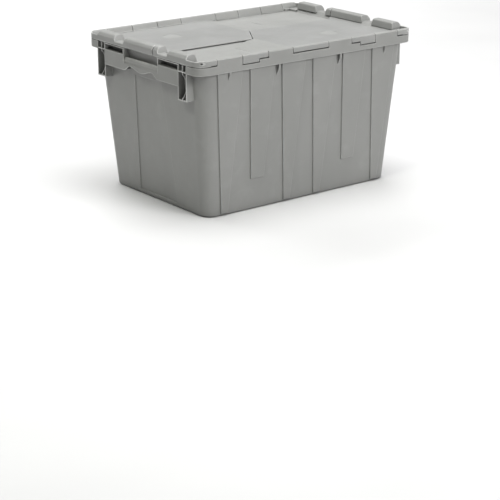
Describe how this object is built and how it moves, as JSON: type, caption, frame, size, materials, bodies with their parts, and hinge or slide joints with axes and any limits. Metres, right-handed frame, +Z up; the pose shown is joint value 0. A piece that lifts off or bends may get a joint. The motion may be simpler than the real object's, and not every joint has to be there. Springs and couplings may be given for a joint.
{
  "type": "attached lid tote",
  "caption": "Tapered plastic tote with two lid flaps hinged on its long sides; the flaps interlock along a stepped seam and fold down the sides, and totes stack when shut or nest when open.",
  "frame": {"origin": "centre of the base's underside, on the floor", "axes": "+X along the tote's length, +Y across its width towards the back flap's hinge, +Z up"},
  "size_m": [0.554, 0.386, 0.33],
  "materials": {
    "tub": "satin",
    "lid": "satin",
    "rod": "brushed"
  },
  "bodies": {
    "tub": {"tub": "tub", "hinge_rod_front": "rod", "hinge_rod_back": "rod"},
    "flap_front": {"lid_flap_front": "lid"},
    "flap_back": {"lid_flap_back": "lid"}
  },
  "joints": [
    {"name": "flap_back_hinge", "type": "hinge", "parent": "tub", "child": "flap_back", "pos_m": [0, 0.1885, 0.318], "axis": [-1, 0, 0], "range_deg": [0, 270]},
    {"name": "flap_front_hinge", "type": "hinge", "parent": "tub", "child": "flap_front", "pos_m": [0, -0.1885, 0.318], "axis": [1, 0, 0], "range_deg": [0, 270]}
  ],
  "couplings": [
    {"joint": "flap_front_hinge", "follows": "flap_back_hinge", "ratio": 1}
  ]
}
